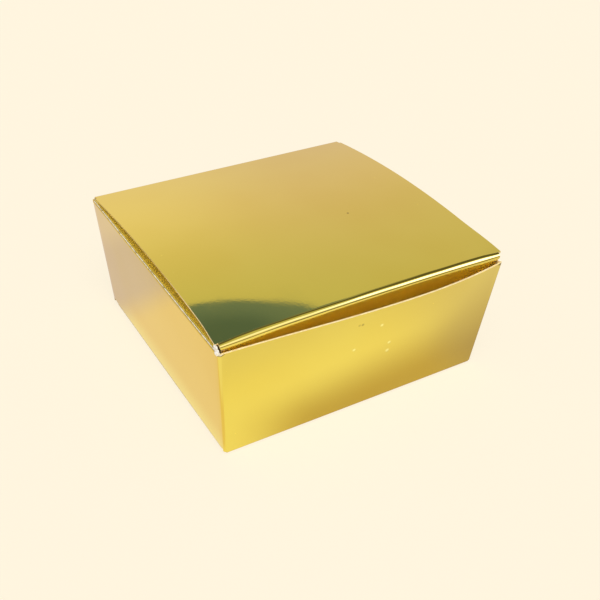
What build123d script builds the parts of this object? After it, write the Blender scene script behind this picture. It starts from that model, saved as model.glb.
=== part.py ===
from build123d import *

import os
from math import atan, atan2, cos, degrees, hypot, radians, sin, tan

# A tapered folding carton for party favours. One die-cut sheet of foil-faced board makes four
# leaning walls in a ring, glued at one back corner. Both ends close with a hinged panel, a tuck
# flap and two dust flaps. The lid hinges on the back wall and tucks in at the front, and the base
# hinges on the front wall and tucks in at the back.
#
# Frame: origin at the middle of the foot, +Z up, the tuck side of the lid towards -Y.
# Sizes are in millimetres and angles in degrees.

# Outside of the walls
mouth_width = 80.0  # left to right across the tops of the walls
mouth_depth = 78.0  # front to back across the tops of the walls
foot_width = 75.0  # left to right at the foot
foot_depth = 72.0  # front to back at the foot
wall_height = 34.0  # foot to the lid's fold at the top of the back wall
front_drop = 0.8  # the front wall's cut top edge lies this far below that fold
front_bow = 2.2  # the front wall's top edge bulges this far at its middle

# Board, creases and clearances
board = 0.45  # thickness of the board
fold_inside = 0.35  # inside radius of every crease
knuckle = 1.45  # radius of a hinge crease's end, about its fold axis
crease_gap = 0.10  # running gap between a hinge crease and the panel that swings on it
layer_gap = 0.30  # free space between two boards that lie over each other
side_gap = 0.80  # free space between a tuck flap and the wall at its end

# Lid and base panels
panel_inset = 0.40  # a panel's sides stop this far inside the side walls' outer faces
lid_lift = 1.75  # height of the lid's front fold above its back fold
lid_arch = 2.1  # height of the lid's crown above its two folds

# Tuck flaps
tuck_depth = 14.0  # lid tuck flap, from its fold axis to its free edge
base_tuck_depth = 12.0  # base tuck flap, likewise
tuck_lean_angle = 9.0  # a tuck flap leans this much further inwards than the wall that it lies against
tuck_taper_angle = 2.0  # a tuck flap's ends close in this much faster than the side walls do
tuck_corner = 6.0  # radius of a tuck flap's two free corners

# Dust flaps
dust_reach = 26.0  # top dust flaps, from the fold axis to the free edge
base_dust_reach = 24.0  # base dust flaps, likewise
dust_rise_angle = 4.0  # the top dust flaps spring up by this angle
dust_cut = 12.0  # length of the 45 degree cut at the hinge end of a dust flap
dust_taper_angle = 15.0  # slant of a dust flap's other end
dust_corner = 3.0  # radius of a dust flap's two free corners
dust_relief = 1.0  # a dust flap's fold runs to the corners, and is cut back this deep beyond the flap

# Glued seam at the back right corner
tab_width = 11.0  # glue tab, from its fold to its free edge
tab_slant_angle = 30.0  # slant of the glue tab's two ends
glue_film = 0.10  # thickness of the glue
glue_margin = 1.5  # the glue stops this far inside the tab's edges

# Values worked out from the sizes above
fold_outside = fold_inside + board
front_top = wall_height - front_drop
side_low = board + layer_gap  # the side walls stand clear of the base panel
side_top = wall_height - board - layer_gap  # and their tops lie clear below the lid
dust_low = side_low + fold_outside  # heights of the dust flaps' fold axes
dust_high = side_top - fold_outside
side_slope_angle = degrees(atan((mouth_width - foot_width) / 2 / wall_height))
front_slope_angle = degrees(atan((mouth_depth - foot_depth) / 2 / wall_height))


def half_width(z):
    """Half the outer width of the walls at height z."""
    return (foot_width + (mouth_width - foot_width) * z / wall_height) / 2


def half_depth(z):
    """Half the outer depth of the walls at height z."""
    return (foot_depth + (mouth_depth - foot_depth) * z / wall_height) / 2


# Flat outlines


def sector(centre, inner, outer, start, end):
    """A piece of a ring about centre, from the start angle to the end angle."""
    inside = CenterArc(centre, inner, start, end - start)
    outside = CenterArc(centre, outer, start, end - start)
    ends = Line(inside @ 0, outside @ 0) + Line(inside @ 1, outside @ 1)
    return make_face(inside + outside + ends)


def strip(foot, along, normal, length):
    """A straight run of board that starts at a fold axis and lies on its outer side."""
    corners = []
    for offset, run in ((fold_inside, 0), (fold_outside, 0), (fold_outside, length), (fold_inside, length)):
        corners.append((
            foot[0] + normal[0] * offset + along[0] * run,
            foot[1] + normal[1] * offset + along[1] * run,
        ))
    return make_face(Polyline(*corners, close=True))


def disc(centre, radius):
    """A round outline about a fold axis."""
    return Pos(*centre) * Circle(radius)


def rectangle(x_low, x_high, y_low, y_high, z):
    """A level rectangle at height z."""
    return Pos(0, 0, z) * make_face(
        Polyline((x_low, y_low), (x_high, y_low), (x_high, y_high), (x_low, y_high), close=True)
    )


# Walls, corner creases and the glued seam


def front_outline(z):
    """Level cut through the front wall, bowed outwards in proportion to its height."""
    half = half_width(z) - fold_outside
    face = -half_depth(z)
    bow = front_bow * (z - fold_outside) / (front_top - fold_outside)
    if bow == 0:
        return rectangle(-half, half, face, face + board, z)
    outer = ThreePointArc((-half, face), (0, face - bow), (half, face))
    inner = ThreePointArc((-half, face + board), (0, face + board - bow), (half, face + board))
    ends = Line(outer @ 0, inner @ 0) + Line(outer @ 1, inner @ 1)
    return Pos(0, 0, z) * make_face(outer + inner + ends)


def back_outline(z):
    """Level cut through the back wall, which covers the seam at its right end."""
    face = half_depth(z)
    return rectangle(fold_outside - half_width(z), half_width(z), face - board, face, z)


def left_outline(z):
    """Level cut through the left wall."""
    half = half_depth(z) - fold_outside
    return rectangle(-half_width(z), board - half_width(z), -half, half, z)


def right_outline(z):
    """Level cut through the right wall, which ends at the seam inside the back wall."""
    return rectangle(half_width(z) - board, half_width(z), fold_outside - half_depth(z), seam_axis(z)[1], z)


def seam_axis(z):
    """Centre of the seam corner's fold, set in by the back wall and the glue."""
    return half_width(z) - fold_outside, half_depth(z) - board - glue_film - fold_outside


def corner_outline(x_side, y_side):
    """Level cut through a corner crease, as a function of height."""
    start = {(1, 1): 0, (-1, 1): 90, (-1, -1): 180, (1, -1): 270}[x_side, y_side]

    def outline(z):
        centre = x_side * (half_width(z) - fold_outside), y_side * (half_depth(z) - fold_outside)
        if (x_side, y_side) == (1, 1):
            centre = seam_axis(z)
        return Pos(0, 0, z) * sector(centre, fold_inside, fold_outside, start, start + 90)

    return outline


def upright(outline, low, high):
    """A piece that leans straight from its cut at one height to its cut at another."""
    return loft([outline(low), outline(high)], ruled=True)


def tab_outline(z):
    """Level cut through the glue tab."""
    fold = seam_axis(z)
    return rectangle(fold[0] - tab_width, fold[0], fold[1] + fold_inside, fold[1] + fold_outside, z)


def glue_outline(z):
    """Level cut through the glue between the tab and the back wall."""
    fold = seam_axis(z)
    face = fold[1] + fold_outside
    return rectangle(fold[0] - tab_width + glue_margin, fold[0] - glue_margin, face, face + glue_film, z)


def slanted(plate):
    """The glue tab with its two ends cut back towards its free edge."""
    drop = tab_width * tan(radians(tab_slant_angle))
    for level, away in ((dust_low, 1), (dust_high, -1)):
        fold = seam_axis(level)[0]
        beyond = fold - 2 * tab_width
        corners = (fold, level), (beyond, level + 2 * away * drop), (beyond, level)
        wedge = make_face(Polyline(*corners, close=True))
        plate -= extrude(Plane.XZ * wedge, amount=mouth_depth, both=True)
    return plate


# End closures. Each is built as a lid: hinge fold at +Y, tuck fold at -Y, outer face up.


def panel_profile(hinge, tuck, arch):
    """Side view of a panel between two fold axes, and its normals there as angles."""
    along = tuck[0] - hinge[0], tuck[1] - hinge[1]
    span = hypot(*along)
    up = along[1] / span, -along[0] / span
    if arch == 0:
        normal = degrees(atan2(up[1], up[0]))
        return strip(hinge, (along[0] / span, along[1] / span), up, span), normal, normal
    radius = (span**2 / 4 + arch**2) / (2 * arch)
    centre = tuple((hinge[i] + tuck[i]) / 2 + up[i] * (arch - radius) for i in (0, 1))
    start, end = (degrees(atan2(point[1] - centre[1], point[0] - centre[0])) for point in (hinge, tuck))
    return sector(centre, radius + fold_inside, radius + fold_outside, start, end), start, end


def across(profile, half):
    """A side view drawn out to both sides of the middle."""
    return extrude(Plane.YZ * profile, amount=half, both=True)


def knuckle_bar(fold, half, radius):
    """A round bar along a left-to-right fold axis."""
    return across(disc(fold, radius), half)


def tuck_flap(fold, lean, half, taper, depth):
    """A tuck flap that hangs from its fold and leans inwards, with two round corners."""
    narrow = half - depth * tan(radians(taper))
    outline = make_face(Polyline((-half, 0), (half, 0), (narrow, -depth), (-narrow, -depth), close=True))
    outline = fillet(outline.vertices().sort_by(Axis.Y)[:2], tuck_corner)
    outward = (0, -cos(radians(lean)), -sin(radians(lean)))
    flap = extrude(Pos(0, 0, fold_inside) * outline, amount=board)
    flap = Plane((0, *fold), x_dir=(1, 0, 0), z_dir=outward) * flap
    return flap - knuckle_bar(fold, mouth_width, knuckle + crease_gap)


def dust_flap(fold, rise, ends, reach):
    """The left dust flap: slanted at its tuck end and chamfered at its hinge end."""
    tuck_end, hinge_end = ends
    outline = make_face(Polyline(
        (0, tuck_end),
        (0, hinge_end),
        (dust_cut, hinge_end - dust_cut),
        (reach, hinge_end - dust_cut),
        (reach, tuck_end + reach * tan(radians(dust_taper_angle))),
        close=True,
    ))
    outline = fillet(outline.vertices().sort_by(Axis.X)[-2:], dust_corner)
    outward = (-sin(radians(rise)), 0, cos(radians(rise)))
    inward = (cos(radians(rise)), 0, sin(radians(rise)))
    flap = extrude(Pos(0, 0, fold_inside) * outline, amount=board)
    flap = Plane((fold[0], 0, fold[1]), x_dir=inward, z_dir=outward) * flap
    bar = extrude(Plane.XZ * disc(fold, knuckle + crease_gap), amount=mouth_depth, both=True)
    return flap - bar


def dust_crease(fold, rise, ends, corners):
    """The left dust flap's crease, from the wall round to a short lip under the flap.

    It runs from corner to corner, and is cut back from there to the two ends of the flap.
    """
    along = cos(radians(rise)), sin(radians(rise))
    normal = -along[1], along[0]
    profile = sector(fold, fold_inside, fold_outside, 90 + rise, 180)
    profile += strip(fold, along, normal, knuckle) & disc(fold, knuckle)
    crease = Pos(0, corners[1], 0) * extrude(Plane.XZ * profile, amount=corners[1] - corners[0])
    for corner, end in zip(corners, ends):
        relief = make_face(Polyline(
            (fold[0], corner),
            (fold[0] + dust_relief, end),
            (fold[0] + 2 * knuckle, end),
            (fold[0] + 2 * knuckle, corner),
            close=True,
        ))
        crease -= extrude(Pos(0, 0, fold[1]) * relief, amount=2 * knuckle, both=True)
    return crease


def closure(
    hinge, hinge_half, tuck, arch, panel_half, flap_half, lean, taper, depth, dust_fold, rise, reach, corners
):
    """All the pieces that close one end of the box."""
    profile, start, end = panel_profile(hinge, tuck, arch)
    flap_normal = 180 + lean
    down = sin(radians(lean)), -cos(radians(lean))
    outward = -cos(radians(lean)), -sin(radians(lean))
    lip = strip(tuck, down, outward, knuckle) & disc(tuck, knuckle)
    dust_ends = (
        tuck[0] + depth * sin(radians(lean)) + layer_gap,
        hinge[0] - knuckle - crease_gap - layer_gap,
    )
    pieces = {
        "crease": across(
            sector(hinge, fold_inside, fold_outside, 0, start) + (profile & disc(hinge, knuckle)), hinge_half
        ),
        "panel": across(profile - disc(hinge, knuckle + crease_gap), panel_half),
        "tuck_crease": across(sector(tuck, fold_inside, fold_outside, end, flap_normal), panel_half)
        + across(lip, flap_half),
        "tuck_flap": tuck_flap(tuck, lean, flap_half, taper, depth),
        "left_dust_crease": dust_crease(dust_fold, rise, dust_ends, corners["left"]),
        "right_dust_crease": mirror(dust_crease(dust_fold, rise, dust_ends, corners["right"]), about=Plane.YZ),
        "left_dust_flap": dust_flap(dust_fold, rise, dust_ends, reach),
    }
    pieces["right_dust_flap"] = mirror(pieces["left_dust_flap"], about=Plane.YZ)
    return pieces


# The lid hinges at the top of the back wall, and its front fold stands proud of the front wall
lid_hinge_z = wall_height - fold_outside
lid_pieces = closure(
    hinge=(half_depth(lid_hinge_z) - fold_outside, lid_hinge_z),
    hinge_half=half_width(lid_hinge_z) - fold_outside,
    tuck=(board + layer_gap + fold_outside - mouth_depth / 2, wall_height + lid_lift - fold_outside),
    arch=lid_arch,
    panel_half=mouth_width / 2 - panel_inset,
    flap_half=mouth_width / 2 - board - side_gap,
    lean=front_slope_angle + tuck_lean_angle,
    taper=side_slope_angle + tuck_taper_angle,
    depth=tuck_depth,
    dust_fold=(fold_outside - half_width(dust_high), dust_high),
    rise=dust_rise_angle,
    reach=dust_reach,
    corners={
        "left": (fold_outside - half_depth(dust_high), half_depth(dust_high) - fold_outside),
        "right": (fold_outside - half_depth(dust_high), seam_axis(dust_high)[1]),
    },
)

# The base is the same closure turned over, flat, and tucked in past the glue tab
base_tuck_y = 2 * board + glue_film + layer_gap + fold_outside - foot_depth / 2
base_dust_corners = base_tuck_y + layer_gap, half_depth(dust_low) - fold_outside
base_pieces = closure(
    hinge=(half_depth(fold_outside) - fold_outside, -fold_outside),
    hinge_half=half_width(fold_outside) - fold_outside,
    tuck=(base_tuck_y, -fold_outside),
    arch=0,
    panel_half=foot_width / 2 - panel_inset,
    flap_half=foot_width / 2 - board - side_gap,
    lean=tuck_lean_angle,
    taper=tuck_taper_angle,
    depth=base_tuck_depth,
    dust_fold=(fold_outside - half_width(dust_low), -dust_low),
    rise=0,
    reach=base_dust_reach,
    corners={"left": base_dust_corners, "right": base_dust_corners},
)

nodes = {
    "front_wall": upright(front_outline, fold_outside, front_top),
    "back_wall": upright(back_outline, 0, lid_hinge_z),
    "left_wall": upright(left_outline, dust_low, dust_high),
    "right_wall": upright(right_outline, dust_low, dust_high),
    "front_left_corner": upright(corner_outline(-1, -1), side_low, side_top),
    "front_right_corner": upright(corner_outline(1, -1), side_low, side_top),
    "back_left_corner": upright(corner_outline(-1, 1), side_low, lid_hinge_z),
    "seam_corner": upright(corner_outline(1, 1), side_low, lid_hinge_z),
    "glue_tab": slanted(upright(tab_outline, dust_low, dust_high)),
    "seam_glue": upright(
        glue_outline,
        dust_low + tab_width * tan(radians(tab_slant_angle)),
        dust_high - tab_width * tan(radians(tab_slant_angle)),
    ),
}
for name, piece in lid_pieces.items():
    nodes[name if "dust" in name else "lid_" + name] = piece
for name, piece in base_pieces.items():
    nodes["base_" + name] = Rot(180, 0, 0) * piece

os.makedirs("parts", exist_ok=True)
for name, piece in nodes.items():
    export_step(piece, f"parts/{name}.step")
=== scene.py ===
from math import atan, atan2, cos, pi, radians, sin, sqrt, tan

import bmesh
import bpy
from mathutils import Matrix, Vector


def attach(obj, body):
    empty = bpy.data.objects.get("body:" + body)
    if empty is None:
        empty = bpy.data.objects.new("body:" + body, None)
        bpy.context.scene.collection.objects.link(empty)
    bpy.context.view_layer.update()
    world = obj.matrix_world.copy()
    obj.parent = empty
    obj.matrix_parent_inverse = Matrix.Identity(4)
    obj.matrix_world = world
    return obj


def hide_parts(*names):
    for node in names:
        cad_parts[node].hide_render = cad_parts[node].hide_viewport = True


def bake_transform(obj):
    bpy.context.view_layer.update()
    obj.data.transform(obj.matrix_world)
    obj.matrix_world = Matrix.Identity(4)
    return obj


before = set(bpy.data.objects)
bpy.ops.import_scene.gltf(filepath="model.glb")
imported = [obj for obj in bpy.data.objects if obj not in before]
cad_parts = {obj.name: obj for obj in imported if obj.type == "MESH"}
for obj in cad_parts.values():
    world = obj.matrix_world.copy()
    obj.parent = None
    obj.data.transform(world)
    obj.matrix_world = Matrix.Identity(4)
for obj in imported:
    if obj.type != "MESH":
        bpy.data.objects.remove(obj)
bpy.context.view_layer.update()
mm = 0.001
xAxis, yAxis, zAxis = Vector((1, 0, 0)), Vector((0, 1, 0)), Vector((0, 0, 1))

# Sizes of the folded carton in mm, the same as in the CAD model
carton = {
    "mouthWidth": 80.0,
    "mouthDepth": 78.0,
    "footWidth": 75.0,
    "footDepth": 72.0,
    "height": 34.0,  # foot to the lid's fold on the back wall
    "frontDrop": 0.8,  # the front wall's cut edge lies this far below that fold
}
board = {
    "thickness": 0.45,
    "bend": 0.8,  # outside radius of a fold
    "bendSteps": 8,
    "lip": 1.45,  # board beside a fold that still gives a little
    "crease": 0.1,  # running gap between a crease and its panel
    "layerGap": 0.3,  # between two boards that lie over each other
    "glue": 0.1,
    "sideGap": 0.8,  # between a tuck flap and the wall at its end
    "panelInset": 0.4,  # lid and base stop this far inside the side walls
    "smoothAngle": 32,
    "cutSlack": 0.01,  # a cut runs through a vertex that is nearer than this
    "mergeGap": 0.002,
}
farOff = 99.0  # further than any flap reaches
sideLow = board["thickness"] + board["layerGap"]
sideTop = carton["height"] - sideLow
dustLow, dustHigh = sideLow + board["bend"], sideTop - board["bend"]
lidFoldZ = carton["height"] - board["bend"]
frontTop = carton["height"] - carton["frontDrop"]


def halfWidth(z):
    foot, mouth = carton["footWidth"], carton["mouthWidth"]
    return (foot + (mouth - foot) * z / carton["height"]) / 2


def halfDepth(z):
    foot, mouth = carton["footDepth"], carton["mouthDepth"]
    return (foot + (mouth - foot) * z / carton["height"]) / 2


def point(x, y, z):
    return Vector((x, y, z)) * mm


class Wire:
    # a socket in a node tree; sums written on it become Math nodes
    def __init__(self, tree, socket=None):
        self.tree = tree
        self.socket = socket

    def node(self, kind, settings=None, values=None, out=0):
        made = self.tree.nodes.new("ShaderNode" + kind)
        for key, value in (settings or {}).items():
            setattr(made, key, value)
        for key, value in (values or {}).items():
            if isinstance(value, Wire):
                self.tree.links.new(value.socket, made.inputs[key])
            else:
                made.inputs[key].default_value = value
        return Wire(self.tree, made.outputs[out] if made.outputs else None)

    def math(self, operation, first, second):
        return self.node("Math", {"operation": operation}, {0: first, 1: second})

    def __add__(self, other):
        return self.math("ADD", self, other)

    def __sub__(self, other):
        return self.math("SUBTRACT", self, other)

    def __rsub__(self, other):
        return self.math("SUBTRACT", other, self)

    def __mul__(self, other):
        return self.math("MULTIPLY", self, other)

    __radd__ = __add__
    __rmul__ = __mul__

    def ease(self, start, stop):
        # 0 at start, 1 at stop, smooth between; start may be the larger
        low, high = min(start, stop), max(start, stop)
        begin, finish = (0.0, 1.0) if start < stop else (1.0, 0.0)
        values = {0: self, 1: low, 2: high, 3: begin, 4: finish}
        return self.node("MapRange", {"interpolation_type": "SMOOTHSTEP"}, values)

    def tint(self, low, high):
        # a colour between two colours
        return self.node("Mix", {"data_type": "RGBA"}, {0: self, 6: low, 7: high}, out=2)

    def stretch(self, scale):
        return self.node("VectorMath", {"operation": "MULTIPLY"}, {0: self, 1: scale})

    def toward(self, direction):
        return self.node("VectorMath", {"operation": "DOT_PRODUCT"}, {0: self, 1: direction}, out="Value")

    def distance(self, place):
        return self.node("VectorMath", {"operation": "DISTANCE"}, {0: self, 1: place}, out="Value")

    def noise(self, scale, detail=2.0, roughness=0.5, distortion=0.0):
        values = {"Vector": self, "Scale": scale, "Detail": detail}
        values.update({"Roughness": roughness, "Distortion": distortion})
        return self.node("TexNoise", {}, values)

    def bump(self, strength, distance):
        values = {"Strength": strength, "Distance": distance * mm, "Height": self}
        return self.node("Bump", {}, values, out="Normal")


def colour(red, green, blue):
    # an 8-bit colour as Blender's linear one
    def linear(value):
        value /= 255
        return value / 12.92 if value <= 0.04045 else ((value + 0.055) / 1.055) ** 2.4

    return linear(red), linear(green), linear(blue), 1.0


def newMaterial(name):
    material = bpy.data.materials.new(name)
    material.use_nodes = True
    material.node_tree.nodes.clear()
    return material, Wire(material.node_tree)


def inMillimetres(wire):
    return wire.node("TexCoord", out="Object").stretch((1 / mm, 1 / mm, 1 / mm))


def surface(wire, values):
    wire.node("OutputMaterial", {}, {"Surface": wire.node("BsdfPrincipled", {}, values)})


foilFinish = {
    "gold": (240, 218, 100),
    "goldWarm": (238, 214, 95),
    "gapGold": (255, 222, 98),  # brighter gold on the tuck flaps below their roll: painted light in the gap under the lid's fold
    "crack": (226, 215, 190),
    "creaseShade": (112, 90, 34),  # painted shade beside a crack
    "dentGlint": (255, 244, 150),
    "speck": (150, 122, 50),
    "crackEdge": (0.62, 0.7),
    "creaseShadeEdge": (0.15, 0.42),
    "roughness": 0.05,
    "smudge": 0.05,
    "relief": (0.12, 0.06),  # strength and depth of the bumps
    "fleckDepth": 2.5,
    # small flaws on the front wall: place in mm, radius, how dark; those with no darkness get a painted
    # glint
    "flecks": [
        ((-4.2, -40.41, 29.72), 0.5, 0.45),
        ((-3.3, -40.41, 29.66), 0.55, 0.7),
        ((2.42, -40.28, 27.54), 0.6, 0.0),
        ((5.97, -39.22, 20.42), 0.65, 0.0),
        ((5.98, -38.78, 17.62), 0.75, 0.0),
        ((-4.36, -39.21, 21.78), 0.6, 0.0),
    ],
}


def makeFoil():
    s = foilFinish
    material, wire = newMaterial("gold_foil")
    place = inMillimetres(wire)
    drift = place.noise(0.03, 2.0).ease(0.35, 0.65)
    smudge = place.noise(0.11, 4.0, 0.55, 0.6).ease(0.45, 0.8)
    peel = place.noise(1.6, 3.0, 0.5)
    # dust specks, about one in a square centimetre
    speckle = wire.node("TexVoronoi", {}, {"Vector": place, "Scale": 0.085}, out="Distance")
    speck = speckle.ease(0.035, 0.02) * place.noise(0.4, 1.0).ease(0.42, 0.6)
    dents, glint = peel * 0.35, 0.0
    for spot, radius, darkness in s["flecks"]:
        near = place.distance(spot).ease(radius, radius * 0.3)
        dents = dents + near * s["fleckDepth"]
        if darkness:
            speck = speck + near * darkness
        # a flaw that is not dark gets a painted glint
        else:
            glint = near + glint
    # the foil has cracked white along the folds; beside the cracks it is painted darker, a painted shade,
    # and made rougher
    fold = wire.node("Attribute", {"attribute_name": "crack"}, out="Fac")
    ragged = place.noise(0.9, 3.0, 0.6)
    crack = (fold + (ragged - 0.5) * 0.9).ease(*s["crackEdge"])
    creaseShade = fold.ease(*s["creaseShadeEdge"]) * (1 - crack)
    # painted light: brighter gold on the tuck flaps, where the gap under the lid's fold lies in shade
    gapLight = wire.node("Attribute", {"attribute_name": "gapLight"}, out="Fac")
    base = drift.tint(colour(*s["gold"]), colour(*s["goldWarm"]))
    base = gapLight.tint(base, colour(*s["gapGold"]))
    base = (speck * 0.7).tint(base, colour(*s["speck"]))
    # painted glint: a bright yellow-white tint on those flaws
    base = glint.tint(base, colour(*s["dentGlint"]))
    # painted shade beside the cracks in the folds
    base = (creaseShade * 0.75).tint(base, colour(*s["creaseShade"]))
    base = crack.tint(base, colour(*s["crack"]))
    roughness = s["roughness"] + smudge * s["smudge"] + speck * 0.2 + creaseShade * 0.12 + crack * 0.6
    height = dents + crack * ragged * 4.0
    surface(wire, {
        "IOR": 1.5,
        "Base Color": base,
        "Roughness": roughness,
        "Metallic": 1 - crack,
        "Normal": height.bump(*s["relief"]),
    })
    return material


boardFinish = {
    "white": (246, 244, 238),
    "grey": (238, 234, 226),
    "fibre": (222, 214, 200),
}


def makeBoard():
    s = boardFinish
    material, wire = newMaterial("white_board")
    place = inMillimetres(wire)
    cloud = place.noise(0.12, 3.0, 0.6).ease(0.3, 0.7)
    alongFibre = place.stretch((0.5, 3.2, 3.2)).noise(1.3, 4.0, 0.65)
    acrossFibre = place.stretch((3.2, 0.5, 3.2)).noise(1.3, 4.0, 0.65)
    fibre = (alongFibre * acrossFibre).ease(0.2, 0.42)
    base = cloud.tint(colour(*s["white"]), colour(*s["grey"]))
    base = ((1 - fibre) * 0.5).tint(base, colour(*s["fibre"]))
    surface(wire, {
        "IOR": 1.45,
        "Specular IOR Level": 0.3,
        "Base Color": base,
        "Roughness": 0.68 + fibre * 0.16,
        "Normal": fibre.bump(0.35, 0.05),
    })
    return material


edgeFinish = {
    "core": (240, 220, 172),
    "shade": (222, 194, 132),
    "backShade": (200, 172, 96),  # painted shade: the cut edges are darker and more golden towards the back
    "backShadeFrom": (-24.0, -6.0),  # from here backwards, in mm
}


def makeCutEdge():
    s = edgeFinish
    material, wire = newMaterial("cut_edge")
    place = inMillimetres(wire)
    layers = place.stretch((0.6, 0.6, 6.0)).noise(1.4, 3.0, 0.6)
    fuzz = place.noise(3.5, 3.0, 0.7)
    base = (layers * 0.7 + fuzz * 0.3).ease(0.35, 0.68).tint(colour(*s["core"]), colour(*s["shade"]))
    surface(wire, {
        "IOR": 1.45,
        "Specular IOR Level": 0.25,
        # painted shade: darker, more golden cut edges towards the back
        "Base Color": place.toward((0, 1, 0)).ease(*s["backShadeFrom"]).tint(base, colour(*s["backShade"])),
        "Roughness": 0.75 + fuzz * 0.2,
        "Normal": (layers + fuzz).bump(0.5, 0.08),
    })
    return material


glueFinish = {
    "clear": (226, 208, 160),
    "milky": (238, 230, 208),
}


def makeGlue():
    s = glueFinish
    material, wire = newMaterial("dried_glue")
    place = inMillimetres(wire)
    streak = place.stretch((1.0, 1.0, 0.25)).noise(0.8, 3.0, 0.6)
    bubble = wire.node("TexVoronoi", {}, {"Vector": place, "Scale": 1.1}, out="Distance")
    bubble = bubble.ease(0.12, 0.25)
    milk = (streak * 0.6 + bubble * 0.4).ease(0.3, 0.7)
    surface(wire, {
        "IOR": 1.47,
        "Base Color": milk.tint(colour(*s["clear"]), colour(*s["milky"])),
        "Roughness": 0.28 + streak * 0.2,
        "Normal": (bubble + streak).bump(0.3, 0.1),
    })
    return material


foil, whiteBoard, cutEdge, driedGlue = makeFoil(), makeBoard(), makeCutEdge(), makeGlue()
print("finishes ready")


def selectOnly(sheet):
    bpy.ops.object.select_all(action="DESELECT")
    sheet.select_set(True)
    bpy.context.view_layer.objects.active = sheet


def pick(sheet, kind, test):
    # selects what passes a test on its place
    bpy.ops.mesh.select_mode(type={"verts": "VERT", "edges": "EDGE", "faces": "FACE"}[kind])
    bpy.ops.mesh.select_all(action="DESELECT")
    grid = bmesh.from_edit_mesh(sheet.data)
    for part in getattr(grid, kind):
        if test(part):
            part.select_set(True)
    bmesh.update_edit_mesh(sheet.data)


def firstEdge(name, start, end, cuts):
    # a plane is cut down to the edge that the sheet grows from
    bpy.ops.object.select_all(action="DESELECT")
    along = (end - start).normalized()
    side = along.orthogonal().normalized()
    turn = Matrix((along, side, along.cross(side))).transposed().to_euler()
    length = (end - start).length
    middle = (start + end) / 2 + side * length / 2
    bpy.ops.mesh.primitive_plane_add(size=length, location=middle, rotation=turn)
    sheet = bpy.context.object
    sheet.name = sheet.data.name = name
    bpy.ops.object.transform_apply(location=True, rotation=True, scale=True)
    bpy.ops.object.mode_set(mode="EDIT")
    pick(sheet, "verts", lambda vert: (vert.co - start).dot(side) > length / 2)
    bpy.ops.mesh.delete(type="VERT")
    bpy.ops.mesh.select_all(action="SELECT")
    if cuts:
        bpy.ops.mesh.subdivide(number_cuts=cuts)
    return sheet


def run(way, steps=1):
    # a straight stretch of board
    for _ in range(steps):
        bpy.ops.mesh.extrude_edges_move(TRANSFORM_OT_translate={"value": way / steps})


def bend(centre, axis, angle, steps):
    # a fold, or a long curve; spin counts its angle the other way round
    bpy.ops.mesh.spin(steps=steps, angle=-angle, center=centre, axis=axis)


def trim(place, away):
    # cuts off what is selected beyond a plane
    slack = board["cutSlack"] * mm
    bpy.ops.mesh.bisect(plane_co=place, plane_no=away.normalized(), threshold=slack, clear_outer=True)


def facingOut(sheet, where, outward):
    # doubles merged, and the foil side turned outwards at one known face
    bpy.ops.mesh.select_all(action="SELECT")
    bpy.ops.mesh.remove_doubles(threshold=board["mergeGap"] * mm)
    bpy.ops.mesh.normals_make_consistent(inside=False)
    grid = bmesh.from_edit_mesh(sheet.data)
    near = min(grid.faces, key=lambda face: (face.calc_center_median() - where).length)
    if near.normal.dot(outward) < 0:
        bpy.ops.mesh.flip_normals()


def mark(sheet, name, amount):
    # a number at each vertex, which the foil's finish reads
    layer = sheet.data.attributes.new(name, "FLOAT", "POINT")
    layer.data.foreach_set("value", [amount(vert.co / mm) for vert in sheet.data.vertices])


def weigh(sheet, weights):
    group = sheet.vertex_groups.new(name="loose")
    for index, weight in enumerate(weights):
        group.add([index], max(0.0, min(1.0, weight)), "REPLACE")
    return group.name


def wave(sheet, strength, size, looseness):
    # gentle unevenness, fading out where looseness does
    group = weigh(sheet, [looseness(vert.co / mm) for vert in sheet.data.vertices])
    texture = bpy.data.textures.new(sheet.name + "_wave", "CLOUDS")
    texture.noise_scale, texture.noise_depth = size * mm, 1
    ripple = sheet.modifiers.new("wave", "DISPLACE")
    ripple.texture, ripple.texture_coords = texture, "LOCAL"
    ripple.vertex_group, ripple.strength, ripple.mid_level = group, strength * mm, 0.5
    bpy.ops.object.modifier_apply(modifier=ripple.name)
    sheet.vertex_groups.clear()


def push(sheet, axis, amounts):
    # moves the board along one axis, by an amount in mm for each vertex
    for sign in (1, -1):
        furthest = max(sign * value for value in amounts)
        if furthest <= 0:
            continue
        shove = sheet.modifiers.new("push", "DISPLACE")
        shove.vertex_group = weigh(sheet, [sign * value / furthest for value in amounts])
        shove.direction, shove.strength, shove.mid_level = axis, sign * furthest * mm, 0.0
        bpy.ops.object.modifier_apply(modifier=shove.name)
        sheet.vertex_groups.clear()


def thicken(sheet):
    # foil outside, white board inside, raw edge round the rim
    for finish in (foil, whiteBoard, cutEdge):
        sheet.data.materials.append(finish)
    solid = sheet.modifiers.new("board", "SOLIDIFY")
    solid.thickness, solid.offset = board["thickness"] * mm, -1
    solid.use_even_offset, solid.use_quality_normals = True, True
    solid.material_offset, solid.material_offset_rim = 1, 2
    bpy.ops.object.modifier_apply(modifier=solid.name)
    bpy.ops.object.shade_smooth_by_angle(angle=radians(board["smoothAngle"]))


tornBoard = {"subdivisions": 4, "waveHeight": 0.5, "waveSize": 0.45}


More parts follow.
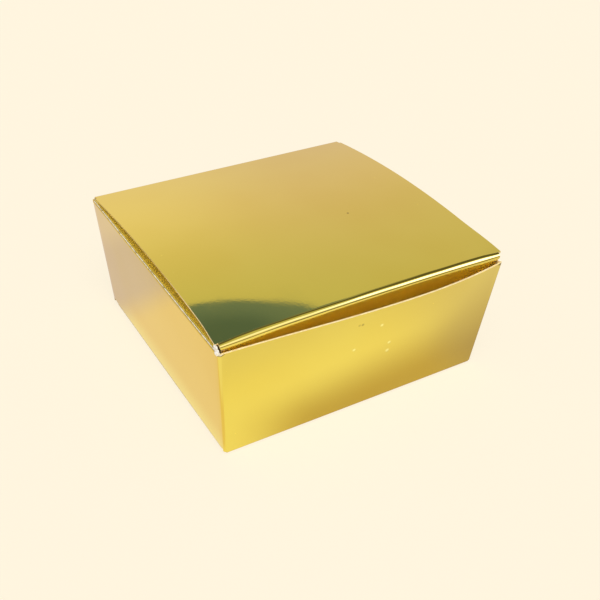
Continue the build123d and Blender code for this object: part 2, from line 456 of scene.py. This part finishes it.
def addTuft(sheet, place, size):
    # a lump of torn white board, made part of its sheet
    bpy.ops.object.select_all(action="DESELECT")
    s = tornBoard
    bpy.ops.mesh.primitive_ico_sphere_add(subdivisions=s["subdivisions"], radius=mm, location=(0, 0, 0))
    lump = bpy.context.object
    lump.name = sheet.name + "_tuft"
    bpy.ops.object.mode_set(mode="EDIT")
    bpy.ops.mesh.select_all(action="SELECT")
    bpy.ops.transform.resize(value=size)
    bpy.ops.transform.translate(value=point(*place))
    bpy.ops.object.mode_set(mode="OBJECT")
    wave(lump, s["waveHeight"], s["waveSize"], lambda p: 1.0)
    bpy.ops.object.shade_smooth()
    lump.data.materials.append(whiteBoard)
    sheet.select_set(True)
    bpy.context.view_layer.objects.active = sheet
    bpy.ops.object.join()


def edgeFade(value, low, high, width):
    # 0 at either end of a span, 1 when further in than width
    return min(1.0, max(0.0, min(value - low, high - value) / width))


# The ring of walls: tab, right, front, left and back in one strip
ring = {
    "bow": 2.2,  # the front wall's top bulges this far
    "bowSkew": 0.67,  # and more so on its right half
    "tabWidth": 11.0,
    "tabSlant": 30.0,
    "wallSteps": 40,
    "frontSteps": 56,
    "tabSteps": 6,
    "rowHeight": 2.0,
    "tornRows": (30.5, 31.0, 31.4, 31.8, 32.2),  # finer rows below the torn corner
    "tuft": (-40.22, -38.95, 34.1),  # torn board that stands up at that corner
    "tuftSize": (0.55, 0.45, 0.65),
    "foldCrack": 0.05,
    # a front fold's crack grows from this level, to this much
    "torn": {"left": (32.5, 1.0), "right": (32.2, 0.6)},
    "tornTop": 0.4,  # and is whole this far below the fold's end
    "backDepth": 0.3,  # a face this near the back's outside is the back wall, not the tab
    "rowClear": 0.5,
    "waveHeight": 0.16,
    "waveSize": 24.0,
    "waveFade": (12.0, 8.0),
}
seamInset = board["thickness"] + board["glue"]


def makeRing():
    s = ring
    r, height = board["bend"], carton["height"]
    wide, deep = carton["mouthWidth"] / 2, carton["mouthDepth"] / 2
    steps = board["bendSteps"]
    tabY = deep - seamInset
    start = wide - r - s["tabWidth"]
    sheet = firstEdge("wall_ring", point(start, tabY, 0), point(start, tabY, height), 0)
    run(point(s["tabWidth"], 0, 0), s["tabSteps"])
    bend(point(wide - r, tabY - r, 0), zAxis, -pi / 2, steps)
    run(point(0, -(deep - r) - (tabY - r), 0), s["wallSteps"])
    bend(point(wide - r, r - deep, 0), zAxis, -pi / 2, steps)
    # the front wall is spun on a long radius, so that it bows
    half, bow = wide - r, s["bow"] * height / frontTop
    long = (half * half + bow * bow) / (2 * bow)
    bend(point(0, long - bow - deep, 0), zAxis, -2 * atan2(half, long - bow), s["frontSteps"])
    bend(point(r - wide, r - deep, 0), zAxis, -pi / 2, steps)
    run(point(0, 2 * (deep - r), 0), s["wallSteps"])
    bend(point(r - wide, deep - r, 0), zAxis, -pi / 2, steps)
    run(point(2 * wide - r, 0, 0), s["wallSteps"])
    facingOut(sheet, point(0, deep, height / 2), yAxis)
    # the foot: the front is drawn straight, then all of it is drawn in
    pick(sheet, "verts", lambda v: v.co.z < mm and v.co.y < (0.001 - deep) * mm)
    bpy.ops.transform.resize(value=(1, 0, 1), center_override=point(0, -deep, 0))
    pick(sheet, "verts", lambda v: v.co.z < mm)
    drawn = (carton["footWidth"] / carton["mouthWidth"], carton["footDepth"] / carton["mouthDepth"], 1)
    bpy.ops.transform.resize(value=drawn, center_override=(0, 0, 0))
    cutLevels()
    trimRing(sheet)
    bpy.ops.object.mode_set(mode="OBJECT")
    mark(sheet, "crack", ringCrack)
    push(sheet, "Y", [frontSkew(vert.co / mm) for vert in sheet.data.vertices])
    wave(sheet, s["waveHeight"], s["waveSize"], ringLooseness)
    thicken(sheet)
    addTuft(sheet, s["tuft"], s["tuftSize"])
    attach(sheet, "walls")
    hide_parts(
        "front_wall", "back_wall", "left_wall", "right_wall", "front_left_corner",
        "front_right_corner", "back_left_corner", "seam_corner", "glue_tab",
    )
    return sheet


def cutLevels():
    # rows round the walls
    rows = int(carton["height"] / ring["rowHeight"])
    heights = [carton["height"] * row / rows for row in range(1, rows)]
    clear = ring["rowClear"]
    heights = [z for z in heights if dustLow + clear < z < ring["tornRows"][0] - clear]
    for z in (sideLow, board["bend"], dustLow, *heights, *ring["tornRows"], dustHigh, frontTop, sideTop):
        bpy.ops.mesh.select_all(action="SELECT")
        bpy.ops.mesh.bisect(plane_co=point(0, 0, z), plane_no=zAxis)


def panelOf(x, y, z):
    # which wall, fold or tab a place on the ring belongs to
    wide, deep, r = halfWidth(z), halfDepth(z), board["bend"]
    onBack = y > deep - ring["backDepth"]
    if abs(x) < wide - r or (onBack and x > 0):
        if y < 0:
            return "front"
        return "back" if onBack else "tab"
    if x < 0 and abs(y) < deep - r:
        return "left"
    if x > 0 and r - deep < y < deep - seamInset - r:
        return "right"
    return "frontFold" if y < 0 else "backFold"


def trimRing(sheet):
    spans = {
        "front": (board["bend"], frontTop),
        "back": (0, lidFoldZ),
        "left": (dustLow, dustHigh),
        "right": (dustLow, dustHigh),
        "tab": (dustLow, dustHigh),
        "frontFold": (sideLow, sideTop),
        "backFold": (sideLow, lidFoldZ),
    }

    def spare(face):
        place = face.calc_center_median() / mm
        low, high = spans[panelOf(*place)]
        return not low < place.z < high

    pick(sheet, "faces", spare)
    bpy.ops.mesh.delete(type="FACE")
    # the tab's two ends slant back towards its free edge
    slant = radians(ring["tabSlant"])
    for level, away in ((dustLow, -1), (dustHigh, 1)):
        pick(sheet, "faces", lambda f: panelOf(*(f.calc_center_median() / mm)) == "tab")
        trim(point(halfWidth(level) - board["bend"], 0, level), Vector((-sin(slant), 0, away * cos(slant))))


def ringCrack(place):
    # the foil is torn at the top of the front left fold, and a little at the right one
    if panelOf(*place) != "frontFold":
        return 0.0
    low, most = ring["torn"]["left" if place.x < 0 else "right"]
    grown = (place.z - low) / (sideTop - low - ring["tornTop"])
    least = ring["foldCrack"]
    return least + (most - least) * max(0.0, min(1.0, grown))


def frontSkew(place):
    if panelOf(*place) != "front":
        return 0.0
    across = place.x / (halfWidth(place.z) - board["bend"])
    return -ring["bow"] * ring["bowSkew"] * (1 - across * across) * across * place.z / frontTop


def ringLooseness(place):
    x, y, z = place
    panel = panelOf(x, y, z)
    if panel in ("frontFold", "backFold", "tab"):
        return 0.0
    along, across = (y, halfDepth(z)) if panel in ("left", "right") else (x, halfWidth(z))
    top = 2 * carton["height"] if panel == "front" else dustHigh
    sideways, upwards = ring["waveFade"]
    return edgeFade(along, -across, across, sideways) * edgeFade(z, dustLow, top, upwards)


wallRing = makeRing()
print("wall ring folded:", len(wallRing.data.polygons), "faces")

# The two ends of the box: panel, tuck flap and dust flaps, each built as a lid
sideSlope = atan((carton["mouthWidth"] - carton["footWidth"]) / 2 / carton["height"])
frontSlope = atan((carton["mouthDepth"] - carton["footDepth"]) / 2 / carton["height"])
dustCorner = halfDepth(dustHigh) - board["bend"]
seamCorner = dustCorner - seamInset
baseTuckY = board["thickness"] + seamInset + board["layerGap"] + board["bend"] - carton["footDepth"] / 2
baseCorners = (baseTuckY + board["layerGap"], halfDepth(dustLow) - board["bend"])
lidEnd = {
    "prefix": "lid",
    "hinge": (halfDepth(lidFoldZ) - board["bend"], lidFoldZ),
    "creaseHalf": halfWidth(lidFoldZ) - board["bend"],
    # the front fold lies higher than the hinge
    "tuck": (sideLow + board["bend"] - carton["mouthDepth"] / 2, lidFoldZ + 1.75),
    "arch": 2.1,
    "roll": 1.5,  # outside radius of the soft front fold
    "endRoll": 1.1,  # it tightens to this at its two ends
    "pinch": 6.0,
    "flare": (0.3, 0.7),  # and its left and right end spread this far
    "flareReach": (8.0, 16.0),  # over this much of the edge behind them
    "flarePower": 7,
    "flareDepth": 1.5,
    "droop": (0.4, 0.1),  # the two ends hang lower
    "droopFrom": 0.6,  # from this share of the half width outwards
    "droopPower": 14,
    "sideBow": 0.4,  # the right edge bulges up
    "crown": 0.45,  # the front fold rises to its middle
    "crownLevel": 0.7,
    "tuft": (-39.75, -37.35, 33.95),  # crushed board in the left end of that fold
    "tuftSize": (0.3, 1.0, 1.0),
    "panelHalf": carton["mouthWidth"] / 2 - board["panelInset"],
    "flapHalf": carton["mouthWidth"] / 2 - board["thickness"] - board["sideGap"],
    "lean": frontSlope + radians(9),
    "taper": sideSlope + radians(2),
    "depth": 14.0,
    "dustFold": (halfWidth(dustHigh) - board["bend"], dustHigh),
    "dustCorners": {"left": (-dustCorner, dustCorner), "right": (-dustCorner, seamCorner)},
    "rise": radians(4),
    "reach": 26.0,
    "turned": False,
    "wave": 0.04,
}
baseEnd = {
    "prefix": "base",
    "hinge": (halfDepth(board["bend"]) - board["bend"], -board["bend"]),
    "creaseHalf": halfWidth(board["bend"]) - board["bend"],
    "tuck": (baseTuckY, -board["bend"]),
    "arch": 0.0,
    "roll": board["bend"],
    "tuft": None,
    "panelHalf": carton["footWidth"] / 2 - board["panelInset"],
    "flapHalf": carton["footWidth"] / 2 - board["thickness"] - board["sideGap"],
    "lean": radians(9),
    "taper": radians(2),
    "depth": 12.0,
    "dustFold": (halfWidth(dustLow) - board["bend"], -dustLow),
    "dustCorners": {"left": baseCorners, "right": baseCorners},
    "rise": 0.0,
    "reach": 24.0,
    "turned": True,
    "wave": 0.05,
}
flapCut = {
    "tuckCorner": 6.0,
    "dustCorner": 3.0,
    "chamfer": 12.0,  # 45 degree cut at the hinge end of a dust flap
    "slant": radians(15),  # slant of its other end
    "relief": 1.0,  # its fold runs on to the corners, cut back this deep
    "cornerCuts": 5,
}


def turnOver():
    # the base is a lid turned over about the left-to-right axis
    bpy.ops.mesh.select_all(action="SELECT")
    bpy.ops.transform.rotate(value=pi, orient_axis="X", center_override=(0, 0, 0))


def upright(end):
    return -1 if end["turned"] else 1


def dustName(end, side):
    return ("base_" if end["turned"] else "") + side + "_dust"


def panelArc(end):
    # centre and outer radius of a panel's arch, and its normals' angles at the hinge and at the roll
    hinge, tuck = Vector(end["hinge"]), Vector(end["tuck"])
    if end["arch"] == 0:
        return None, 0.0, pi / 2, pi / 2
    along = tuck - hinge
    rise = Vector((along.y, -along.x)).normalized()
    radius = (along.length_squared / 4 + end["arch"] ** 2) / (2 * end["arch"])
    centre = (hinge + tuck) / 2 + rise * (end["arch"] - radius)
    outer = radius + board["bend"]
    first, last = hinge - centre, rollCentre(end, centre, outer, end["roll"]) - centre
    return centre, outer, atan2(first.y, first.x), atan2(last.y, last.x)


def flapWays(end):
    lean = end["lean"]
    return Vector((sin(lean), -cos(lean))), Vector((-cos(lean), -sin(lean)))


def rollCentre(end, centre, radius, roll):
    # a roll that touches the panel's arch and the flap's outer face
    fold = Vector(end["tuck"])
    if centre is None:
        return fold
    down, outward = flapWays(end)
    begin = fold + outward * (board["bend"] - roll) - centre
    slide = begin.dot(down)
    back = sqrt(slide**2 - begin.length_squared + (radius - roll) ** 2)
    return begin + centre + down * (-slide - back)


def smooth(share):
    share = min(1.0, max(0.0, share))
    return share * share * (3 - 2 * share)


def shapeFold(sheet, end):
    # the front fold: sharp, spread corners and a crown between them
    centre, radius, _, _ = panelArc(end)
    if centre is None:
        return
    half, roll, endRoll, pinch = end["panelHalf"], end["roll"], end["endRoll"], end["pinch"]
    loose, tight = (rollCentre(end, centre, radius, size) for size in (roll, endRoll))
    hingeY, tuckY = end["hinge"][0], end["tuck"][0]

    def tighten(place):
        out = Vector((place.y, place.z)) - loose
        if abs(out.length - roll) > 0.1:
            return Vector((0, 0))
        nearEnd = smooth((abs(place.x) - half + pinch) / pinch)
        return (tight - loose + out * (endRoll / roll - 1)) * nearEnd

    def spread(place):
        reach = end["flareReach"][place.x > 0]
        depth = end["flareDepth"]
        near = smooth(1 - (place.y - tuckY) / reach) * smooth((place.z - end["tuck"][1] + depth) / depth)
        return end["flare"][place.x > 0] * near * (place.x / half) ** end["flarePower"]

    def rise(place):
        share = min(1.0, max(0.0, (hingeY - place.y) / (hingeY - tuckY)))
        crown = end["crown"] * (1 - (place.x / half) ** 2 - end["crownLevel"]) * share
        outward = (abs(place.x) / half - end["droopFrom"]) / (1 - end["droopFrom"])
        crown -= end["droop"][place.x > 0] * smooth(outward) * share ** end["droopPower"]
        return crown + end["sideBow"] * max(0.0, place.x / half) ** 3 * 4 * share * (1 - share)

    shifts = [tighten(vert.co / mm) for vert in sheet.data.vertices]
    push(sheet, "Y", [shift.x for shift in shifts])
    push(sheet, "Z", [shift.y for shift in shifts])
    push(sheet, "X", [spread(vert.co / mm) for vert in sheet.data.vertices])
    push(sheet, "Z", [rise(vert.co / mm) for vert in sheet.data.vertices])


panelSheet = {
    "cuts": 31,
    "lipRows": 4,
    "flatRows": 36,
    "archRows": 40,
    "crack": 0.2,
    "waveSize": 26.0,
    "waveClear": 2.0,
    "waveFade": 9.0,
}


def makePanel(end):
    s = panelSheet
    r, lip, steps = board["bend"], board["lip"], board["bendSteps"]
    hinge, half, prefix = end["hinge"], end["creaseHalf"], end["prefix"]
    centre, radius, first, last = panelArc(end)
    edgeY, foldZ = hinge[0] + r, hinge[1]
    sheet = firstEdge(prefix, point(-half, edgeY, foldZ), point(half, edgeY, foldZ), s["cuts"])
    bend(point(0, *hinge), xAxis, first, steps)
    widen = (end["panelHalf"] / half, 1, 1)
    crease = board["crease"]
    if centre is None:
        run(point(0, -lip, 0), s["lipRows"])
        run(point(0, -crease, 0))
        bpy.ops.transform.resize(value=widen, center_override=(0, 0, 0))
        run(point(0, end["tuck"][0] - hinge[0] + lip + crease, 0), s["flatRows"])
    else:
        middle = point(0, *centre)
        bend(middle, xAxis, lip / radius, s["lipRows"])
        bend(middle, xAxis, crease / radius, 1)
        bpy.ops.transform.resize(value=widen, center_override=(0, 0, 0))
        bend(middle, xAxis, last - first - (lip + crease) / radius, s["archRows"])
    facingOut(sheet, point(0, 0, foldZ), zAxis)
    if end["turned"]:
        turnOver()
    bpy.ops.object.mode_set(mode="OBJECT")
    sign = upright(end)
    front, back = end["tuck"][0], hinge[0] - s["waveClear"]
    mark(sheet, "crack", lambda p: s["crack"] if p.y * sign > hinge[0] else 0.0)
    shapeFold(sheet, end)
    wave(sheet, end["wave"], s["waveSize"], lambda p: edgeFade(p.y * sign, front, back, s["waveFade"]))
    thicken(sheet)
    start = point(0, edgeY - board["thickness"], foldZ)
    stop = point(0, hinge[0] - lip, foldZ)
    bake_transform(sheet)
    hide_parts(prefix + "_crease", prefix + "_panel")


tuckSheet = {
    "cuts": 47,
    "rows": 14,
    "shoulder": 0.25,  # the flap narrows just below the roll
    "shoulderClear": 0.2,
    "gapLightBelow": 0.5,  # painted light in the gap: the brighter gold starts here and grows downwards
    "gapLightOver": 1.5,
    "rollWave": 0.12,
    "rollWaveSize": 7.0,
    "rollWaveFade": 5.0,
    "rollSlack": 0.01,
    "flapWave": 0.1,
    "flapWaveSize": 9.0,
    "flapWaveFade": 3.0,
    "blendAbove": 0.5,
}


def makeTuck(end):
    s = tuckSheet
    fold, half, narrow, lean = Vector(end["tuck"]), end["panelHalf"], end["flapHalf"], end["lean"]
    centre, radius, _, last = panelArc(end)
    roll = end["roll"]
    middle = rollCentre(end, centre, radius, roll)
    begin = middle + Vector((cos(last), sin(last))) * roll
    prefix = end["prefix"]
    sheet = firstEdge(prefix + "_tuck", point(-half, *begin), point(half, *begin), s["cuts"])
    bend(point(0, *middle), xAxis, pi + lean - last, 2 * board["bendSteps"])
    down, outward = (Vector((0, *way)) for way in flapWays(end))
    run(down * s["shoulder"] * mm)
    bpy.ops.transform.resize(value=(narrow / half, 1, 1), center_override=(0, 0, 0))
    used = (middle - fold).dot(flapWays(end)[0])
    run(down * (end["depth"] - used - s["shoulder"]) * mm, s["rows"])
    # slanted ends, then round corners
    taper, corner = end["taper"], flapCut["tuckCorner"]
    clear = (used + s["shoulderClear"]) * mm
    for side in (-1, 1):
        across = Vector((side, 0, 0))
        shoulderEnd = point(side * narrow, *fold)
        pick(sheet, "faces", lambda f: (f.calc_center_median() - shoulderEnd).dot(down) > clear)
        trim(shoulderEnd, across * cos(taper) + down * sin(taper))
        inset = (end["depth"] - corner) * tan(taper) + corner / cos(taper)
        around = shoulderEnd + (down * (end["depth"] - corner) - across * inset) * mm
        for step in range(flapCut["cornerCuts"] + 1):
            angle = taper + (pi / 2 - taper) * step / flapCut["cornerCuts"]
            away = across * cos(angle) + down * sin(angle)
            bpy.ops.mesh.select_all(action="SELECT")
            trim(around + away * corner * mm, away)
    facingOut(sheet, point(0, *fold) + (outward * board["bend"] + down * end["depth"] / 2) * mm, outward)
    if end["turned"]:
        turnOver()
    bpy.ops.object.mode_set(mode="OBJECT")
    sign = upright(end)
    # painted light on the tuck flap below its roll, for the shaded gap under the lid's fold
    mark(sheet, "gapLight", lambda p: smooth((fold.y - s["gapLightBelow"] - p.z * sign) / s["gapLightOver"]))

    def rolled(place):
        # half way round the roll, away from its ends
        out = Vector((place.y * sign, place.z * sign)) - middle
        if abs(out.length - roll) > s["rollSlack"]:
            return 0.0
        share = (atan2(-out.y, -out.x) + pi - last) / (pi + lean - last)
        return max(0.0, sin(pi * share)) * edgeFade(place.x, -half, half, s["rollWaveFade"])

    def flapLooseness(place):
        fade = s["flapWaveFade"]
        return edgeFade(fold.y - fade - place.z * sign, 0.0, farOff, fade)

    wave(sheet, s["rollWave"], s["rollWaveSize"], rolled)
    shapeFold(sheet, end)
    wave(sheet, s["flapWave"], s["flapWaveSize"], flapLooseness)
    thicken(sheet)
    if end["tuft"]:
        addTuft(sheet, end["tuft"], end["tuftSize"])
    prefix + "_tuck"
    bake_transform(sheet)
    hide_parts(prefix + "_tuck_crease", prefix + "_tuck_flap")


dustSheet = {
    "cuts": 60,
    "rows": (2, 1, 6, 8),
    "crack": 0.9,
    "crackPower": 7,
    "wave": 0.1,
    "waveSize": 18.0,
    "waveClear": 2.0,
    "waveFade": 6.0,
}


def makeDustSheet(end):
    # the left flap's outline, before the board gets its thickness
    s, r = flapCut, board["bend"]
    fold = point(-end["dustFold"][0], 0, end["dustFold"][1])
    low, high = end["dustCorners"]["left"]
    tuckEnd = end["tuck"][0] + end["depth"] * sin(end["lean"]) + board["layerGap"]
    hingeEnd = end["hinge"][0] - board["lip"] - board["crease"] - board["layerGap"]
    edge = fold - point(r, 0, 0)
    start, stop = edge + point(0, low, 0), edge + point(0, high, 0)
    sheet = firstEdge(dustName(end, "left"), start, stop, dustSheet["cuts"])
    bend(fold, yAxis, pi / 2 - end["rise"], board["bendSteps"])
    inward = Vector((cos(end["rise"]), 0, sin(end["rise"])))
    reached = 0.0
    for reach, rows in zip((s["relief"], board["lip"], s["chamfer"], end["reach"]), dustSheet["rows"]):
        run(inward * (reach - reached) * mm, rows)
        reached = reach

    def cut(beyond, before, place, away):
        # trims the flap between two distances from its fold, and leaves the board beside them whole
        spot = fold + (inward * place[0] + yAxis * place[1]) * mm
        way = (inward * away[0] + yAxis * away[1]).normalized()

        def between(face):
            return beyond * mm < (face.calc_center_median() - fold).dot(inward) < before * mm

        pick(sheet, "faces", between)
        bpy.ops.mesh.bisect(plane_co=spot, plane_no=way, threshold=board["cutSlack"] * mm)
        pick(sheet, "faces", lambda f: between(f) and (f.calc_center_median() - spot).dot(way) > 0)
        bpy.ops.mesh.delete(type="FACE")

    relief, chamfer, slant, corner = s["relief"], s["chamfer"], s["slant"], s["dustCorner"]
    cut(0, relief, (0, low), (tuckEnd - low, -relief))
    cut(0, relief, (0, high), (high - hingeEnd, relief))
    cut(relief, farOff, (relief, tuckEnd), (sin(slant), -cos(slant)))
    cut(relief, chamfer, (chamfer, hingeEnd - chamfer), (chamfer, chamfer - relief))
    straight = hingeEnd - chamfer  # where the straight edge lies
    cut(chamfer, farOff, (chamfer, straight), (0, 1))
    # round free corners
    inset = end["reach"] - corner
    slantSide = tuckEnd + (corner + (inset - relief) * sin(slant)) / cos(slant)
    for step in range(1, s["cornerCuts"]):
        share = step / s["cornerCuts"]
        turns = (straight - corner, pi / 2 * share), (slantSide, (slant - pi / 2) * share)
        for y, angle in turns:
            away = cos(angle), sin(angle)
            cut(chamfer, farOff, (inset + corner * away[0], y + corner * away[1]), away)
    facingOut(sheet, fold + inward * chamfer * mm, zAxis)
    if end["turned"]:
        turnOver()
    bpy.ops.object.mode_set(mode="OBJECT")
    return sheet


def mirrored(sheet, end):
    # the right flap; on the lid its fold stops short of the seam
    selectOnly(sheet)
    bpy.ops.object.duplicate()
    copy = bpy.context.object
    copy.name = copy.data.name = sheet.name.replace("left", "right")
    bpy.ops.object.mode_set(mode="EDIT")
    bpy.ops.mesh.select_all(action="SELECT")
    bpy.ops.transform.resize(value=(-1, 1, 1), center_override=(0, 0, 0))
    bpy.ops.mesh.flip_normals()
    if end["dustCorners"]["right"] != end["dustCorners"]["left"]:
        trim(point(0, end["dustCorners"]["right"][1], 0), yAxis)
    bpy.ops.object.mode_set(mode="OBJECT")
    return copy


def finishDust(sheet, end, side):
    s = dustSheet
    selectOnly(sheet)
    x, z = end["dustFold"]
    sign, flip = (-1 if side == "left" else 1), upright(end)

    def foldCrack(place):
        # a thin line half way round the fold
        out, up = abs(place.x) - x, place.z * flip - z
        if out < 0 or up < 0:
            return 0.0
        return s["crack"] * sin(2 * atan2(up, out)) ** s["crackPower"]

    mark(sheet, "crack", foldCrack)
    fade = s["waveClear"], farOff, s["waveFade"]
    wave(sheet, s["wave"], s["waveSize"], lambda p: edgeFade(x - abs(p.x), *fade))
    thicken(sheet)
    name = dustName(end, side)
    start = point((x + board["bend"] - board["thickness"]) * sign, 0, z)
    stop = point((x - board["lip"]) * sign, 0, z)
    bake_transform(sheet)
    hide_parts(name + "_crease", name + "_flap")


for end in (lidEnd, baseEnd):
    makePanel(end)
    makeTuck(end)
    left = makeDustSheet(end)
    right = mirrored(left, end)
    finishDust(left, end, "left")
    finishDust(right, end, "right")
    print(end["prefix"], "end folded")

# Glue in the seam: the CAD node's own shape, with a finish
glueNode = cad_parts["seam_glue"]
glueNode.data.materials.clear()
glueNode.data.materials.append(driedGlue)

stageLook = {
    "cream": (254, 244, 222),
    # the floor as the foil shows it, with painted light and shade for the foil to reflect: its tone in
    # front of the box, and tones that take over along a way, in m
    "nearTone": (255, 249, 230),
    "tones": [
        {"tone": (241, 234, 229), "way": (0, 1, 0), "fade": (-0.050, -0.068)},  # further in front
        {"tone": (235, 227, 231), "way": (1, 0, 0), "fade": (0.014, 0.056)},  # to the right
        {"tone": (245, 225, 202), "way": (1, 0, 0), "fade": (-0.037, -0.041)},  # to the left
        {"tone": (255, 251, 255), "way": (1, 1, 0), "fade": (-0.088, -0.102)},  # off the front left corner
        {"tone": (221, 207, 227), "way": (0, 1, 0), "fade": (0.021, 0.038)},  # behind
        {"tone": (233, 219, 233), "way": (0, 1, 0), "fade": (0.058, 0.076)},  # further behind
    ],
    "shade": (207, 187, 155),  # a painted shadow along the foot of the front wall, seen only in the foil
    "shadeRight": (194, 179, 189),  # and cooler towards its right end
    "shadeTurn": (0.022, 0.045),
    "shadeReach": [
        {"way": (0.06, 1, 0), "fade": (-0.051, -0.037)},
        {"way": (0, 1, 0), "fade": (-0.012, -0.034)},
        {"way": (1, 0, 0), "fade": (-0.038, -0.010)},
        {"way": (1, 0, 0), "fade": (0.095, 0.06)},
    ],
    "floorSize": 8.0,
    "floorDrop": 0.05,
    "flatShare": 0.88,  # how much of the floor's look to the camera is plain colour
    "mirrorShare": 0.95,  # and to the foil
    "dome": 0.5,
    "sun": 2.2,
    "sunSoftness": 40,
    "sunFrom": (-0.25, -0.55, 1.0),
    "bounces": 16,  # light that goes to and fro in the gaps between the boards
}


def aim(elevation, azimuth):
    # a direction by its height above the horizon and its turn from +Y towards +X
    e, a = radians(elevation), radians(azimuth)
    return sin(a) * cos(e), cos(a) * cos(e), sin(e)


def rayKind(wire, kind):
    return wire.node("LightPath", out="Is " + kind + " Ray")


def makeFloor():
    s = stageLook
    bpy.ops.object.select_all(action="DESELECT")
    bpy.ops.mesh.primitive_plane_add(size=s["floorSize"], location=(0, 0, -s["floorDrop"] * mm))
    floor = bpy.context.object
    floor.name = floor.data.name = "studio_floor"
    bpy.ops.object.transform_apply(location=True, rotation=True, scale=True)
    material, wire = newMaterial("studio_floor")
    material.cycles.emission_sampling = "NONE"
    cream = colour(*s["cream"])
    mirror = (rayKind(wire, "Glossy") + rayKind(wire, "Transmission")).ease(0, 1)
    place = wire.node("TexCoord", out="Object")
    tone = colour(*s["nearTone"])
    for part in s["tones"]:
        tone = place.toward(part["way"]).ease(*part["fade"]).tint(tone, colour(*part["tone"]))
    shade = 1.0
    for part in s["shadeReach"]:
        shade = place.toward(part["way"]).ease(*part["fade"]) * shade
    cool = place.toward((1, 0, 0)).ease(*s["shadeTurn"])
    shadeTone = cool.tint(colour(*s["shade"]), colour(*s["shadeRight"]))
    # painted light and shade on the floor, seen only by the foil's reflections
    tone = mirror.tint(cream, shade.tint(tone, shadeTone))
    lit = wire.node("BsdfDiffuse", {}, {"Color": tone})
    flat = wire.node("Emission", {}, {"Color": tone, "Strength": 1.0})
    share = rayKind(wire, "Camera") * s["flatShare"] + mirror * s["mirrorShare"]
    wire.node("OutputMaterial", {}, {"Surface": wire.node("MixShader", {}, {0: share, 1: lit, 2: flat})})
    floor.data.materials.append(material)


# The room that the foil mirrors: brightness in linear light, aims as height and turn in degrees
roomLook = {
    "low": (0.90, 0.81, 0.80),
    "high": (0.61, 0.615, 0.50),
    "rightTone": (0.77, 0.66, 0.81),
    "rightFade": (0.25, 0.5),
    "rise": (20, 50),
    "patches": [
        {"tone": (9.0, 9.0, 6.0), "aim": (62, 205), "edge": (24, 12)},  # skylight above the front
        {"tone": (0.12, 0.115, 0.10), "aim": (58, 75), "edge": (26, 14)},  # dark ceiling
        {"tone": (0.40, 0.42, 0.44), "aim": (56, 43), "edge": (14, 6)},  # haze beside the card
        {"tone": (0.155, 0.235, 0.42), "aim": (56, 26), "edge": (14.3, 13.7)},  # blue card
        {"tone": (0.10, 0.165, 0.30), "aim": (56, 24), "edge": (13.4, 7)},  # and its middle
        {"tone": (1.3, 1.35, 2.6), "aim": (33, 151), "edge": (17, 7)},  # bright wall
        {"tone": (3.0, 3.1, 8.0), "aim": (32, 129), "edge": (18, 6)},  # window
        {"tone": (0.24, 0.22, 0.18), "aim": (4, 150), "edge": (15, 8)},  # dark furniture
    ],
}


def makeWorld():
    s = roomLook
    world = bpy.data.worlds.new("studio")
    bpy.context.scene.world = world
    world.use_nodes = True
    world.cycles.sampling_method = "NONE"
    world.node_tree.nodes.clear()
    wire = Wire(world.node_tree)
    way = wire.node("TexCoord", out="Generated")
    low, high = (sin(radians(angle)) for angle in s["rise"])
    right = way.toward(aim(0, 90)).ease(*s["rightFade"])
    room = right.tint((*s["low"], 1), (*s["rightTone"], 1))
    room = way.toward((0, 0, 1)).ease(low, high).tint(room, (*s["high"], 1))
    for patch in s["patches"]:
        outer, inner = (cos(radians(angle)) for angle in patch["edge"])
        room = way.toward(aim(*patch["aim"])).ease(outer, inner).tint(room, (*patch["tone"], 1))
    mirror = (rayKind(wire, "Glossy") + rayKind(wire, "Transmission")).ease(0, 1)
    dome = stageLook["dome"]
    light = mirror.tint((dome, dome, dome, 1), room)
    light = rayKind(wire, "Camera").tint(light, colour(*stageLook["cream"]))
    shown = wire.node("Background", {}, {"Color": light, "Strength": 1.0})
    wire.node("OutputWorld", {}, {"Surface": shown})


def makeSun():
    s = stageLook
    bpy.ops.object.light_add(type="SUN")
    sun = bpy.context.object
    sun.data.energy, sun.data.angle = s["sun"], radians(s["sunSoftness"])
    sun.rotation_euler = Vector(s["sunFrom"]).to_track_quat("Z", "Y").to_euler()


makeFloor()
makeWorld()
makeSun()
print("stage lit")

# The camera at the photograph's angle
cameraLook = {
    "azimuth": -31.8245,
    "elevation": 35.1087,
    "roll": 2.2881,
    "place": (-105.384, -176.697, 155.284),
    "focus": 905.923 / 600,  # focal length over image width
    "sensor": 36.0,
    "clip": (0.005, 20.0),
}


def makeCamera():
    s = cameraLook
    bpy.ops.object.camera_add()
    camera = bpy.context.object
    a, e, roll = (radians(s[key]) for key in ("azimuth", "elevation", "roll"))
    back = Vector((sin(a) * cos(e), -cos(a) * cos(e), sin(e)))
    right = (-back).cross(zAxis).normalized()
    up = back.cross(right)
    rolledRight = cos(roll) * right + sin(roll) * up
    rolledUp = cos(roll) * up - sin(roll) * right
    turn = Matrix((rolledRight, rolledUp, back)).transposed()
    camera.matrix_world = Matrix.Translation(point(*s["place"])) @ turn.to_4x4()
    camera.data.sensor_width = s["sensor"]
    camera.data.lens = s["sensor"] * s["focus"]
    camera.data.clip_start, camera.data.clip_end = s["clip"]
    bpy.context.scene.camera = camera


makeCamera()
bpy.context.scene.view_settings.view_transform = "Standard"
paths = bpy.context.scene.cycles
paths.max_bounces = 2 * stageLook["bounces"]
paths.diffuse_bounces = paths.glossy_bounces = stageLook["bounces"]
print("camera set")
